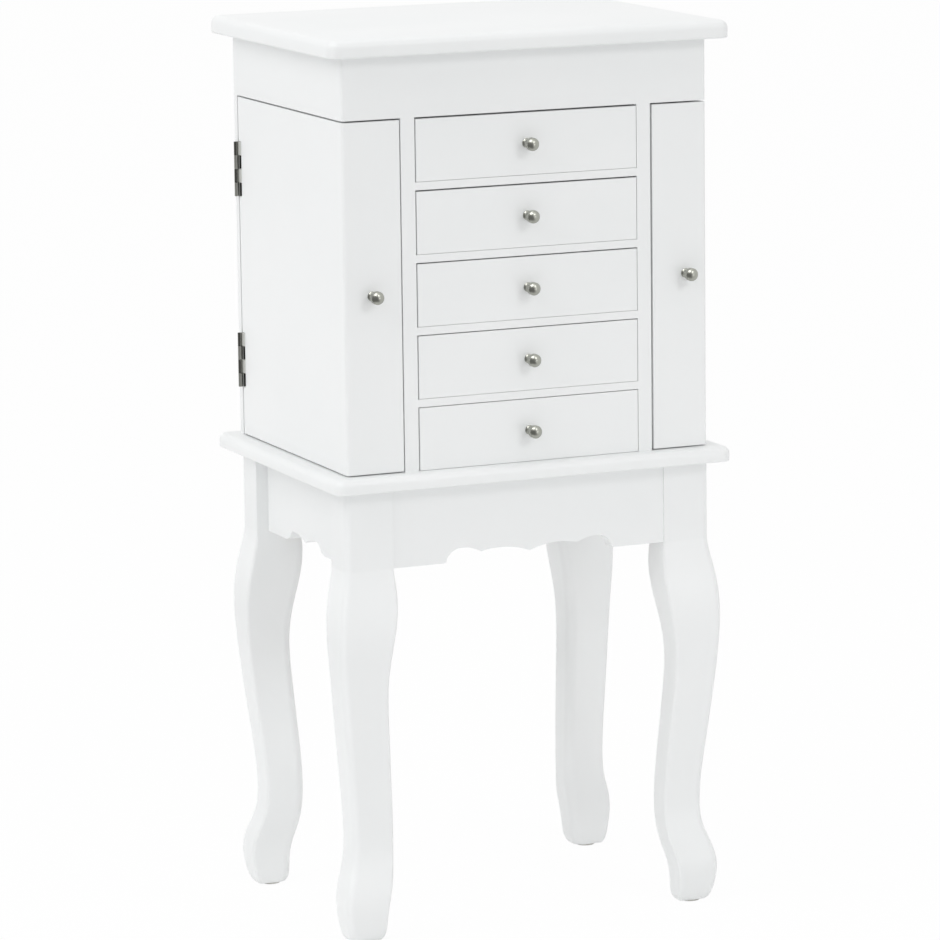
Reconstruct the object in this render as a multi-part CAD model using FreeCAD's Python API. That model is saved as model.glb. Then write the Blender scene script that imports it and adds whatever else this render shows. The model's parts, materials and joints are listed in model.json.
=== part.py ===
import FreeCAD, Part
import math
import os

Vector = FreeCAD.Vector

# A white jewelry cabinet on a stand with curved legs, in millimetres.
# The origin is on the floor under the middle of the body: +X right, -Y front, +Z up.

# Body boards
body_width = 350.0
body_depth = 258.0
board_thickness = 12.0
back_thickness = 8.0
partition_thickness = 13.1
deck_thickness = 8.0
frieze_height = 55.25
corner_radius = 3.0
edge_ease = 0.6

# Drawers, from the top down
drawer_count = 5
drawer_opening_height = 56.8
shelf_thickness = 7.05
dado_depth = 3.0
dado_stop = 8.0
joint_clearance = 0.05
drawer_wall = 8.0
drawer_head_gap = 12.5
drawer_bottom_thickness = 3.0
drawer_side_gap = 0.6
slide_gap = 0.3
front_top_gap = 1.6
front_low_gap = 0.7
front_left_gap = 1.2
front_right_gap = 0.4
front_foot_gap = 0.2

# Lid and the mirror under it
lid_thickness = 16.0
lid_overhang = 17.0
lid_round = 7.0
lid_under_round = 2.0
lid_gap = 0.3
plan_corner_extra = 2.0
mirror_margin = 8.0
mirror_frame_width = 16.0
mirror_frame_thickness = 7.0
mirror_glass_thickness = 3.0
mirror_rabbet = 4.0

# Tray under the lid
divider_thickness = 6.0
divider_height = 26.0
ring_roll_count = 14
ring_roll_height = 20.0
soft_gap = 0.3

# Stand
ledge_thickness = 13.25
ledge_overhang = 17.0
ledge_round = 6.0
ledge_under_round = 1.5
leg_height = 407.5
leg_width = 45.0
leg_depth = 35.5
leg_side_outset = 2.0
leg_front_inset = 1.0
leg_rear_inset = 6.0
leg_outer_radius = 6.0
leg_side_radius = 3.0
leg_block_edge = 0.6
leg_inner_radius = 9.0
apron_height = 72.0
apron_thickness = 15.0
front_apron_recess = 1.5
side_apron_recess = 11.5
scallop_rise = 12.5
corner_block_thickness = 12.0
corner_block_height = 40.0
bolt_radius = 3.0
bolt_bite = 26.0
bolt_head_radius = 6.0
bolt_head_height = 4.0
glide_radius = 9.0
glide_height = 2.0

# Side doors
side_bay_width = 55.1
door_left_gap = 1.0
door_right_gap = 2.0
door_head_gap = 1.5
door_foot_gap = 1.0
door_board_thickness = 8.0
door_board_gap = 2.0
hook_count = 4
hook_end_margin = 30.0
hook_wire_radius = 1.1
hook_stem = 14.0
hook_bend_radius = 5.0
hook_tip = 4.0
hook_collar_radius = 4.0
hook_collar_height = 1.2
catch_depth = 10.0
catch_length = 16.0
catch_height = 30.0
catch_gap = 0.3
strike_thickness = 1.0
strike_width = 10.0
strike_height = 24.0
strike_inset = 1.5

# Butt hinges of the doors and the lid
hinge_length = 50.0
hinge_knuckles = 4
barrel_radius = 1.95
barrel_gap = 0.5
leaf_thickness = 0.9
leaf_gap = 0.2
leaf_width = 12.0
knuckle_gap = 0.2
strap_reach = 5.4
strap_gap = 0.3
pin_radius = 1.0
pin_clearance = 0.05
lower_hinge_inset = 68.7
upper_hinge_inset = 65.6
lid_hinge_spacing = 200.0

# Knobs and the screw behind each one
knob_radius = 5.8
knob_projection = 16.8
knob_edge_round = 1.6
door_knob_rise = 2.4
screw_radius = 1.9
screw_bite = 8.0
screw_head_radius = 4.0
screw_head_height = 2.4

# One overrun for every cut, and the distance at which two points count as one
overrun = 5.0
hair = 0.001

# Leg curve from the block down: share of the curved height, of the leg's width for the outward lean,
# of its width for the width there, and of its depth for the depth there
leg_profile_shares = (
    (1.000, 0.000, 1.000, 1.000),
    (0.950, 0.060, 1.105, 1.090),
    (0.880, 0.155, 1.185, 1.140),
    (0.800, 0.195, 1.120, 1.060),
    (0.720, 0.175, 1.005, 0.950),
    (0.580, 0.087, 0.925, 0.880),
    (0.420, -0.043, 0.880, 0.835),
    (0.280, -0.123, 0.850, 0.800),
    (0.210, -0.083, 0.870, 0.820),
    (0.155, 0.047, 0.930, 0.880),
    (0.105, 0.132, 0.920, 0.870),
    (0.050, 0.102, 0.840, 0.790),
    (0.015, 0.037, 0.750, 0.710),
    (0.000, -0.033, 0.620, 0.590),
)

# Scalloped lower edges: where the scallop starts, then the middle and end of each arc to the centre,
# as shares of the half span and of the rise
front_scallop_shares = (
    (0.616, 0.00),
    ((0.577, 0.72), (0.498, 1.00)),
    ((0.420, 0.90), (0.357, 0.62)),
    ((0.176, 0.78), (0.000, 0.36)),
)
side_scallop_shares = (
    (0.567, 0.00),
    ((0.472, 0.07), (0.406, 0.28)),
    ((0.364, 0.66), (0.269, 0.77)),
    ((0.132, 0.68), (0.000, 0.36)),
)

# Place of each door's knob across its side bay, from the outer edge
left_knob_share = 0.472
right_knob_share = 0.379

# Knob outline from the flange to the edge of the domed face, as shares of the radius and of the projection
knob_flange_share = 0.74
knob_flange_height_share = 0.06
knob_neck_mid_shares = (0.52, 0.14)
knob_neck_shares = (0.54, 0.30)
knob_flare_mid_shares = (0.80, 0.41)
knob_brim_shares = (1.00, 0.58)
knob_face_shares = (1.00, 0.84)

# Levels
ledge_low = glide_height + leg_height
ledge_top = ledge_low + ledge_thickness
drawer_pitch = drawer_opening_height + shelf_thickness
frieze_low = ledge_top + drawer_count * drawer_pitch - shelf_thickness
deck_top = frieze_low + deck_thickness
body_top = frieze_low + frieze_height
lid_low = body_top + lid_gap
apron_low = ledge_low - apron_height

# Planes of the body
half_width = body_width / 2
half_depth = body_depth / 2
front = -half_depth
front_inner = front + board_thickness
back_face = half_depth - back_thickness
side_inner = half_width - board_thickness
partition_outer = half_width - side_bay_width
opening_half = partition_outer - partition_thickness
front_edge = {-1: opening_half - front_left_gap, 1: opening_half - front_right_gap}
front_gap_step = (front_top_gap - front_low_gap) / (drawer_count - 1)

# Planes of the stand: those across the depth are given for the front (-1) and the rear (1)
leg_x = half_width + leg_side_outset
leg_y = {-1: half_depth - leg_front_inset, 1: half_depth - leg_rear_inset}
apron_face = {y: leg_y[y] - front_apron_recess for y in leg_y}
apron_inner = {y: apron_face[y] - apron_thickness for y in leg_y}
side_apron_face = leg_x - side_apron_recess
side_apron_inner = side_apron_face - apron_thickness

# Planes of the doors, and the hinge lines
door_low = ledge_top + door_foot_gap
door_high = frieze_low - door_head_gap
door_middle = (door_low + door_high) / 2
door_knob_z = door_middle + door_knob_rise
door_knob_x = {-1: half_width - left_knob_share * side_bay_width,
               1: half_width - right_knob_share * side_bay_width}
door_edge = {-1: partition_outer + door_left_gap, 1: partition_outer + door_right_gap}
door_rear = back_face - 2 * leaf_thickness - leaf_gap
hinge_reach = barrel_gap + barrel_radius
door_hinge_x = half_width + hinge_reach
door_hinge_y = (door_rear + back_face) / 2
door_hinge_levels = (door_low + lower_hinge_inset, door_high - upper_hinge_inset)
lid_hinge_y = half_depth + hinge_reach
lid_hinge_z = lid_low - hinge_reach
lid_hinge_middles = (-lid_hinge_spacing / 2, lid_hinge_spacing / 2)
hole_radius = screw_radius + joint_clearance
bolt_length = corner_block_thickness + bolt_bite
corners = ((-1, -1), (1, -1), (-1, 1), (1, 1))
sides = (("left", -1), ("right", 1))


# Shared shapes
def block(x_span, y_span, z_span):
    x_low, x_high = sorted(x_span)
    y_low, y_high = sorted(y_span)
    z_low, z_high = sorted(z_span)
    return Part.makeBox(x_high - x_low, y_high - y_low, z_high - z_low, Vector(x_low, y_low, z_low))


def one_solid(shape):
    (solid,) = shape.Solids
    return solid


def prism(points, travel):
    outline = Part.makePolygon(points + points[:1])
    return Part.Face(outline).extrude(travel)


def edges_where(solid, test):
    return [edge for edge in solid.Edges if all(test(vertex) for vertex in edge.Vertexes)]


def near(value, target):
    return abs(value - target) < hair


def level_edges(solid, level):
    return edges_where(solid, lambda vertex: near(vertex.Z, level))


def upright_edges(solid, x, y):
    return edges_where(solid, lambda vertex: near(vertex.X, x) and near(vertex.Y, y))


def front_board(x_span, z_span, left_radius, right_radius, eased_levels):
    x_low, x_high = x_span
    board = block(x_span, (front, front_inner), z_span)
    board = board.makeFillet(left_radius, upright_edges(board, x_low, front))
    board = board.makeFillet(right_radius, upright_edges(board, x_high, front))
    hidden = edges_where(board, lambda vertex: near(vertex.Y, front_inner))
    rim = [edge for level in eased_levels for edge in level_edges(board, level)]
    rim = [edge for edge in rim if not any(edge.isSame(other) for other in hidden)]
    return board.makeFillet(edge_ease, rim)


def overhanging_board(overhang, low, thickness, top_round, under_round):
    reach_x = half_width + overhang
    reach_y = half_depth + overhang
    board = block((-reach_x, reach_x), (-reach_y, reach_y), (low, low + thickness))
    uprights = []
    for x, y in corners:
        uprights += upright_edges(board, x * reach_x, y * reach_y)
    board = board.makeFillet(top_round + plan_corner_extra, uprights)
    board = board.makeFillet(top_round, level_edges(board, low + thickness))
    return board.makeFillet(under_round, level_edges(board, low))


# Stand: legs, aprons, corner blocks, bolts, glides and the ledge
def leg_section(x, y, edge_radius, share, lean_share, width_share, depth_share):
    half_x = leg_width * width_share / 2
    half_y = leg_depth * depth_share / 2
    lean = leg_width * lean_share
    middle = Vector(x * (leg_x + lean - half_x), y * (leg_y[y] + lean - half_y),
                    glide_height + share * (leg_height - apron_height))
    turns = ((1, 1), (-1, 1), (-1, -1), (1, -1))
    radii = {(x, y): leg_outer_radius, (-x, -y): leg_inner_radius}
    arrivals = (Vector(0, 1, 0), Vector(-1, 0, 0), Vector(0, -1, 0), Vector(1, 0, 0))
    arcs = []
    for index, (turn_x, turn_y) in enumerate(turns):
        arrive = arrivals[index]
        leave = arrivals[(index + 1) % len(arrivals)]
        radius = radii.get((turn_x, turn_y), edge_radius)
        corner = middle + Vector(turn_x * half_x, turn_y * half_y, 0)
        hub = corner - arrive * radius + leave * radius
        start = corner - arrive * radius
        halfway = hub + (arrive - leave) * (radius * math.sqrt(0.5))
        arcs.append((start, halfway, corner + leave * radius))
    edges = []
    for index, (start, halfway, end) in enumerate(arcs):
        following = arcs[(index + 1) % len(arcs)][0]
        edges.append(Part.Arc(start, halfway, end).toShape())
        edges.append(Part.LineSegment(end, following).toShape())
    return Part.Wire(edges)


def corner_block_reach(y):
    # The corner blocks just reach the rounded inner corners of the legs
    corner_sum = leg_x - leg_width + leg_y[y] - leg_depth
    return corner_sum + leg_inner_radius * (2 - math.sqrt(2)) - joint_clearance


def bolt_start(x, y):
    # The bolt runs along the diagonal through the middle of the leg block
    middle_x = leg_x - leg_width / 2
    middle_y = leg_y[y] - leg_depth / 2
    inner_sum = corner_block_reach(y) - corner_block_thickness * math.sqrt(2)
    shift = (middle_x + middle_y - inner_sum) / 2
    level = ledge_low - corner_block_height / 2
    return Vector(x * (middle_x - shift), y * (middle_y - shift), level)


def bolt_bore(x, y):
    start = bolt_start(x, y)
    length = bolt_length + joint_clearance
    return Part.makeCylinder(bolt_radius + joint_clearance, length, start, Vector(x, y, 0))


def leg(x, y):
    head_section = leg_section(x, y, leg_block_edge, *leg_profile_shares[0])
    lower_sections = [leg_section(x, y, leg_side_radius, *shares) for shares in leg_profile_shares[1:]]
    curve = Part.makeLoft([head_section] + lower_sections, True)
    head = Part.Face(head_section).extrude(Vector(0, 0, apron_height))
    return one_solid(one_solid(curve.fuse(head)).cut(bolt_bore(x, y)))


def apron(half_span, scallop_shares):
    # The outline stands in the XZ plane and is given its thickness along +Y
    def spot(shares, mirror):
        along, up = shares
        return Vector(mirror * along * half_span, 0, apron_low + up * scallop_rise)

    halves = []
    for mirror in (1, -1):
        start = spot(scallop_shares[0], mirror)
        half = [Part.LineSegment(Vector(mirror * half_span, 0, apron_low), start).toShape()]
        for middle, end in scallop_shares[1:]:
            half.append(Part.Arc(start, spot(middle, mirror), spot(end, mirror)).toShape())
            start = spot(end, mirror)
        halves.append(half)
    top_right = Vector(half_span, 0, ledge_low)
    top_left = Vector(-half_span, 0, ledge_low)
    rest = [
        Part.LineSegment(Vector(-half_span, 0, apron_low), top_left).toShape(),
        Part.LineSegment(top_left, top_right).toShape(),
        Part.LineSegment(top_right, Vector(half_span, 0, apron_low)).toShape(),
    ]
    outline = Part.Wire(halves[0] + halves[1][::-1] + rest)
    return Part.Face(outline).extrude(Vector(0, apron_thickness, 0))


def front_apron():
    board = apron(leg_x - leg_width, front_scallop_shares)
    board.translate(Vector(0, -apron_face[-1], 0))
    return board


def rear_apron():
    span = leg_x - leg_width
    return block((-span, span), (apron_inner[1], apron_face[1]), (apron_low, ledge_low))


def side_apron(side):
    board = apron((leg_y[-1] + leg_y[1]) / 2 - leg_depth, side_scallop_shares)
    board.rotate(Vector(0, 0, 0), Vector(0, 0, 1), side * 90)
    board.translate(Vector(side * side_apron_face, (leg_y[1] - leg_y[-1]) / 2, 0))
    return board


def corner_block(x, y):
    reach = corner_block_reach(y)
    inner_reach = reach - corner_block_thickness * math.sqrt(2)
    spots = (
        (reach - apron_inner[y], apron_inner[y]),
        (side_apron_inner, reach - side_apron_inner),
        (side_apron_inner, inner_reach - side_apron_inner),
        (inner_reach - apron_inner[y], apron_inner[y]),
    )
    points = [Vector(x * along, y * across, ledge_low - corner_block_height) for along, across in spots]
    brace = prism(points, Vector(0, 0, corner_block_height))
    return one_solid(brace.cut(bolt_bore(x, y)))


def leg_bolt(x, y):
    start = bolt_start(x, y)
    inward = Vector(x, y, 0).normalize()
    shank = Part.makeCylinder(bolt_radius, bolt_length, start, inward)
    across = Vector(-inward.y, inward.x, 0)
    points = []
    for index in range(6):
        angle = math.radians(index * 60)
        rim = across * math.cos(angle) + Vector(0, 0, math.sin(angle))
        points.append(start + rim * bolt_head_radius)
    head = prism(points, inward * -bolt_head_height)
    return one_solid(shank.fuse(head))


def foot_glide(x, y):
    height_share, lean_share, width_share, depth_share = leg_profile_shares[-1]
    lean = leg_width * lean_share
    foot_x = leg_x + lean - leg_width * width_share / 2
    foot_y = leg_y[y] + lean - leg_depth * depth_share / 2
    centre = Vector(x * foot_x, y * foot_y, 0)
    disc = Part.makeCylinder(glide_radius, glide_height, centre)
    return disc.makeFillet(edge_ease, level_edges(disc, 0))


# Body: back, partitions, shelves, deck and friezes
def slot_low(number):
    return ledge_top + (drawer_count - number) * drawer_pitch


def back_panel():
    panel = block((-half_width, half_width), (back_face, half_depth), (ledge_top, body_top))
    rims = []
    for name, side in sides:
        rims += upright_edges(panel, side * half_width, half_depth)
    return panel.makeFillet(edge_ease, rims)


def partition(side):
    board = block((side * opening_half, side * partition_outer), (front, back_face), (ledge_top, frieze_low))
    for number in range(1, drawer_count):
        low = slot_low(number) - shelf_thickness - joint_clearance
        bottom = opening_half + dado_depth + joint_clearance
        groove = block((side * (opening_half - overrun), side * bottom),
                       (front + dado_stop - joint_clearance, back_face + overrun),
                       (low, low + shelf_thickness + 2 * joint_clearance))
        board = board.cut(groove)
    return one_solid(board)


def drawer_shelf(number):
    high = slot_low(number)
    levels = (high - shelf_thickness, high)
    housed = opening_half + dado_depth
    lip = block((-opening_half, opening_half), (front, front + dado_stop), levels)
    board = block((-housed, housed), (front + dado_stop, back_face), levels)
    return one_solid(board.fuse(lip).removeSplitter())


def side_frieze(side):
    return block((side * side_inner, side * half_width), (front_inner, back_face), (frieze_low, body_top))


# Tray: a divider, and a row of half-round ring rolls in the left half
def ring_roll(index):
    pitch = (back_face - front_inner - soft_gap) / ring_roll_count
    width = pitch - soft_gap
    near_y = front_inner + soft_gap + index * pitch
    far_y = near_y + width
    spring = deck_top + ring_roll_height - width / 2
    left = soft_gap - side_inner
    length = side_inner - divider_thickness / 2 - 2 * soft_gap
    foot_near = Vector(left, near_y, deck_top)
    foot_far = Vector(left, far_y, deck_top)
    shoulder_near = Vector(left, near_y, spring)
    shoulder_far = Vector(left, far_y, spring)
    crown = Vector(left, near_y + width / 2, deck_top + ring_roll_height)
    outline = Part.Wire([
        Part.LineSegment(foot_near, foot_far).toShape(),
        Part.LineSegment(foot_far, shoulder_far).toShape(),
        Part.Arc(shoulder_far, crown, shoulder_near).toShape(),
        Part.LineSegment(shoulder_near, foot_near).toShape(),
    ])
    return Part.Face(outline).extrude(Vector(length, 0, 0))


# Knobs: a turned mushroom on a flange with a domed face, and its screw through the board
def knob_dome(x, z):
    rise = knob_projection * (1 - knob_face_shares[1])
    radius = (knob_radius ** 2 + rise ** 2) / (2 * rise)
    centre = Vector(x, front - knob_projection + radius, z)
    latitude = math.degrees(math.asin((radius - rise) / radius))
    return Part.makeSphere(radius, centre, Vector(0, -1, 0), latitude, 90)


def knob(x, z):
    def spot(shares):
        out, along = shares
        return Vector(x + out * knob_radius, front - along * knob_projection, z)

    foot = Vector(x, front, z)
    rim = spot((knob_flange_share, 0))
    rim_top = spot((knob_flange_share, knob_flange_height_share))
    neck = spot(knob_neck_shares)
    brim = spot(knob_brim_shares)
    face = spot(knob_face_shares)
    face_middle = spot((0, knob_face_shares[1]))
    outline = Part.Wire([
        Part.LineSegment(foot, rim).toShape(),
        Part.LineSegment(rim, rim_top).toShape(),
        Part.Arc(rim_top, spot(knob_neck_mid_shares), neck).toShape(),
        Part.Arc(neck, spot(knob_flare_mid_shares), brim).toShape(),
        Part.LineSegment(brim, face).toShape(),
        Part.LineSegment(face, face_middle).toShape(),
        Part.LineSegment(face_middle, foot).toShape(),
    ])
    turned = Part.Face(outline).revolve(foot, Vector(0, 1, 0), 360)
    hole = Part.makeCylinder(hole_radius, screw_bite + joint_clearance, foot, Vector(0, -1, 0))
    head = one_solid(turned.fuse(knob_dome(x, z)))
    rounded = head.makeFillet(knob_edge_round, edges_where(head, lambda vertex: near(vertex.Y, face.y)))
    return one_solid(rounded.cut(hole))


def knob_screw(x, z):
    seat = Vector(x, front_inner, z)
    shank = Part.makeCylinder(screw_radius, board_thickness + screw_bite, seat, Vector(0, -1, 0))
    head = Part.makeCylinder(screw_head_radius, screw_head_height, seat, Vector(0, 1, 0))
    return one_solid(shank.fuse(head))


def screw_hole(x, z):
    start = Vector(x, front - overrun, z)
    return Part.makeCylinder(hole_radius, board_thickness + 2 * overrun, start, Vector(0, 1, 0))


# Drawers
def drawer_front(number):
    low = slot_low(number)
    high = low + drawer_opening_height
    head_gap = front_top_gap - (number - 1) * front_gap_step
    levels = (low + front_foot_gap, high - head_gap)
    board = front_board((-front_edge[-1], front_edge[1]), levels, edge_ease, edge_ease, levels)
    return one_solid(board.cut(screw_hole(0, (low + high) / 2)))


def drawer_box(number):
    floor = slot_low(number) + slide_gap
    wall_top = slot_low(number) + drawer_opening_height - drawer_head_gap
    outer = opening_half - drawer_side_gap
    inner = outer - drawer_wall
    rear = back_face - slide_gap
    walls = [block((side * inner, side * outer), (front_inner, rear), (floor, wall_top))
             for name, side in sides]
    back = block((-inner, inner), (rear - drawer_wall, rear), (floor, wall_top))
    bottom = block((-inner, inner), (front_inner, rear - drawer_wall),
                   (floor, floor + drawer_bottom_thickness))
    return walls + [back, bottom]


# Lid: the board, and a mirror in a mitred frame under it
def mirror_strips(pane):
    reach_x = side_inner - mirror_margin
    reach_near = front_inner + mirror_margin
    reach_far = back_face - mirror_margin
    outer = ((-reach_x, reach_near), (reach_x, reach_near), (reach_x, reach_far), (-reach_x, reach_far))
    inward = ((1, 1), (-1, 1), (-1, -1), (1, -1))
    inner = [(x + turn_x * mirror_frame_width, y + turn_y * mirror_frame_width)
             for (x, y), (turn_x, turn_y) in zip(outer, inward)]
    low = lid_low - mirror_frame_thickness
    strips = []
    for index in range(len(outer)):
        following = (index + 1) % len(outer)
        spots = (outer[index], outer[following], inner[following], inner[index])
        points = [Vector(x, y, low) for x, y in spots]
        strip = prism(points, Vector(0, 0, mirror_frame_thickness))
        strips.append(one_solid(strip.cut(pane)))
    return strips


def mirror_pane(clearance, rise):
    inset = mirror_margin + mirror_frame_width - mirror_rabbet - clearance
    reach_x = side_inner - inset
    return block((-reach_x, reach_x), (front_inner + inset, back_face - inset),
                 (lid_low - mirror_glass_thickness - clearance, lid_low + rise))


# Doors: an L of two panels braced by a top and a floor board
def door_front_panel(side):
    spans = {-1: (-half_width, -door_edge[-1]), 1: (door_edge[1], half_width)}
    radii = {-1: (corner_radius, edge_ease), 1: (edge_ease, corner_radius)}
    levels = (door_low, door_high)
    panel = front_board(spans[side], levels, *radii[side], levels)
    return one_solid(panel.cut(screw_hole(side * door_knob_x[side], door_knob_z)))


def hinge_mortise(side, middle):
    # The straps lie flush in a shallow recess, and the body's knuckles face open slots
    low = middle - hinge_length / 2
    y_span = (door_rear - strap_reach - strap_gap, door_rear + overrun)
    recess = block((side * (half_width - leaf_thickness), side * (half_width + overrun)), y_span,
                   (low - strap_gap, low + hinge_length + strap_gap))
    slots = [block((side * (side_inner - overrun), side * (half_width + overrun)), y_span, span)
             for span in knuckle_spans(low, 0)]
    return recess.fuse(slots)


def door_side_panel(side):
    panel = block((side * side_inner, side * half_width), (front_inner, door_rear), (door_low, door_high))
    outer_rim = [edge for level in (door_low, door_high) for edge in level_edges(panel, level)
                 if all(near(vertex.X, side * half_width) for vertex in edge.Vertexes)]
    panel = panel.makeFillet(edge_ease, outer_rim)
    return one_solid(panel.cut([hinge_mortise(side, middle) for middle in door_hinge_levels]))


def door_board(side, low):
    inner = partition_outer + door_board_gap
    high = low + door_board_thickness
    return block((side * inner, side * side_inner), (front_inner, door_rear), (low, high))


def necklace_hook(side, y):
    x = side * (partition_outer + side_inner) / 2
    top = door_high - door_board_thickness
    bend = top - hook_stem
    turn = -side * hook_bend_radius
    stem = Part.LineSegment(Vector(x, y, top), Vector(x, y, bend)).toShape()
    low = Vector(x + turn, y, bend - hook_bend_radius)
    far = Vector(x + 2 * turn, y, bend)
    curl = Part.Arc(Vector(x, y, bend), low, far).toShape()
    tip = Part.LineSegment(far, Vector(far.x, y, bend + hook_tip)).toShape()
    ring = Part.Wire(Part.makeCircle(hook_wire_radius, Vector(x, y, top), Vector(0, 0, -1)))
    wire = Part.Wire([stem, curl, tip]).makePipeShell([ring], True, False)
    collar_foot = Vector(x, y, top - hook_collar_height)
    collar = Part.makeCylinder(hook_collar_radius, hook_collar_height, collar_foot)
    return one_solid(wire.fuse(collar))


def necklace_hooks(side):
    near_end = front_inner + hook_end_margin
    step = (door_rear - hook_end_margin - near_end) / (hook_count - 1)
    return [necklace_hook(side, near_end + index * step) for index in range(hook_count)]


def strike_plate(side):
    inner = door_edge[side] + strike_inset
    return block((side * inner, side * (inner + strike_width)),
                 (front_inner, front_inner + strike_thickness),
                 (door_middle - strike_height / 2, door_middle + strike_height / 2))


def catch_magnet(side):
    near_y = front_inner + strike_thickness + catch_gap
    return block((side * partition_outer, side * (partition_outer + catch_depth)),
                 (near_y, near_y + catch_length),
                 (door_middle - catch_height / 2, door_middle + catch_height / 2))


# Hinges: odd knuckles belong to the moving leaf, even ones to the body's leaf
def knuckle_spans(low, own):
    pitch = hinge_length / hinge_knuckles
    starts = [low + index * pitch for index in range(hinge_knuckles) if index % 2 == own]
    return [(start + knuckle_gap / 2, start + pitch - knuckle_gap / 2) for start in starts]


def door_leaf(side, middle, y_span, own):
    low = middle - hinge_length / 2
    leaf = block((side * (half_width - leaf_width), side * half_width), y_span, (low, low + hinge_length))
    for start, end in knuckle_spans(low, own):
        web = block((side * half_width, side * door_hinge_x), y_span, (start, end))
        foot = Vector(side * door_hinge_x, door_hinge_y, start)
        leaf = leaf.fuse([web, Part.makeCylinder(barrel_radius, end - start, foot)])
    foot = Vector(side * door_hinge_x, door_hinge_y, low - overrun)
    bore = Part.makeCylinder(pin_radius + pin_clearance, hinge_length + 2 * overrun, foot)
    return one_solid(leaf.cut(bore).removeSplitter())


def door_body_leaf(side, middle):
    return door_leaf(side, middle, (back_face - leaf_thickness, back_face), 0)


def door_moving_leaf(side, middle):
    leaf = door_leaf(side, middle, (door_rear, door_rear + leaf_thickness), 1)
    straps = [block((side * (half_width - leaf_thickness), side * half_width),
                    (door_rear - strap_reach, door_rear), span)
              for span in knuckle_spans(middle - hinge_length / 2, 1)]
    return one_solid(leaf.fuse(straps).removeSplitter())


def lid_leaf(middle, plate_y, plate_z, web_y, web_z, own):
    low = middle - hinge_length / 2
    along = Vector(1, 0, 0)
    leaf = block((low, low + hinge_length), plate_y, plate_z)
    for start, end in knuckle_spans(low, own):
        web = block((start, end), web_y, web_z)
        foot = Vector(start, lid_hinge_y, lid_hinge_z)
        leaf = leaf.fuse([web, Part.makeCylinder(barrel_radius, end - start, foot, along)])
    foot = Vector(low - overrun, lid_hinge_y, lid_hinge_z)
    bore = Part.makeCylinder(pin_radius + pin_clearance, hinge_length + 2 * overrun, foot, along)
    return one_solid(leaf.cut(bore).removeSplitter())


def lid_body_leaf(middle):
    plate_top = lid_hinge_z - hinge_reach
    plate_y = (half_depth, half_depth + leaf_thickness)
    plate_z = (plate_top - leaf_width, plate_top)
    return lid_leaf(middle, plate_y, plate_z, plate_y, (plate_top, lid_hinge_z), 0)


def lid_moving_leaf(middle):
    plate_near = lid_hinge_y + hinge_reach
    plate_far = half_depth + lid_overhang - lid_under_round
    plate_z = (lid_low - leaf_thickness, lid_low)
    return lid_leaf(middle, (plate_near, plate_far), plate_z, (lid_hinge_y, plate_near), plate_z, 1)


def hinge_pins():
    pins = []
    for name, side in sides:
        for middle in door_hinge_levels:
            foot = Vector(side * door_hinge_x, door_hinge_y, middle - hinge_length / 2)
            pins.append(Part.makeCylinder(pin_radius, hinge_length, foot))
    for middle in lid_hinge_middles:
        foot = Vector(middle - hinge_length / 2, lid_hinge_y, lid_hinge_z)
        pins.append(Part.makeCylinder(pin_radius, hinge_length, foot, Vector(1, 0, 0)))
    return pins


# Every node and its solids
nodes = {}
for (x, y), place in zip(corners, ("front_left", "front_right", "rear_left", "rear_right")):
    nodes["leg_" + place] = [leg(x, y)]
nodes["apron_front"] = [front_apron()]
nodes["apron_rear"] = [rear_apron()]
for name, side in sides:
    nodes["apron_" + name] = [side_apron(side)]
nodes["corner_blocks"] = [corner_block(x, y) for x, y in corners]
nodes["leg_bolts"] = [leg_bolt(x, y) for x, y in corners]
nodes["foot_glides"] = [foot_glide(x, y) for x, y in corners]
nodes["stand_top"] = [overhanging_board(ledge_overhang, ledge_low, ledge_thickness,
                                        ledge_round, ledge_under_round)]

nodes["back_panel"] = [back_panel()]
for name, side in sides:
    nodes["partition_" + name] = [partition(side)]
    nodes["frieze_" + name] = [side_frieze(side)]
nodes["drawer_shelves"] = [drawer_shelf(number) for number in range(1, drawer_count)]
nodes["tray_deck"] = [block((-side_inner, side_inner), (front_inner, back_face), (frieze_low, deck_top))]
nodes["frieze_front"] = [front_board((-half_width, half_width), (frieze_low, body_top),
                                     corner_radius, corner_radius, (body_top,))]
nodes["tray_divider"] = [block((-divider_thickness / 2, divider_thickness / 2), (front_inner, back_face),
                               (deck_top, deck_top + divider_height))]
nodes["ring_cushions"] = [ring_roll(index) for index in range(ring_roll_count)]

nodes["lid_board"] = [overhanging_board(lid_overhang, lid_low, lid_thickness, lid_round, lid_under_round)]
nodes["mirror_frame"] = mirror_strips(mirror_pane(joint_clearance, overrun))
nodes["mirror_glass"] = [mirror_pane(0, 0)]

for name, side in sides:
    door = "door_" + name
    knob_x = side * door_knob_x[side]
    nodes[door + "_front_panel"] = [door_front_panel(side)]
    nodes[door + "_side_panel"] = [door_side_panel(side)]
    nodes[door + "_hook_rail"] = [door_board(side, door_high - door_board_thickness)]
    nodes[door + "_floor"] = [door_board(side, door_low)]
    nodes[door + "_necklace_hooks"] = necklace_hooks(side)
    nodes[door + "_strike_plate"] = [strike_plate(side)]
    nodes[door + "_hinge_leaves"] = [door_moving_leaf(side, middle) for middle in door_hinge_levels]
    nodes[door + "_knob"] = [knob(knob_x, door_knob_z), knob_screw(knob_x, door_knob_z)]

for number in range(1, drawer_count + 1):
    drawer = "drawer_%d" % number
    knob_z = slot_low(number) + drawer_opening_height / 2
    nodes[drawer + "_front"] = [drawer_front(number)]
    nodes[drawer + "_box"] = drawer_box(number)
    nodes[drawer + "_knob"] = [knob(0, knob_z), knob_screw(0, knob_z)]

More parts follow.
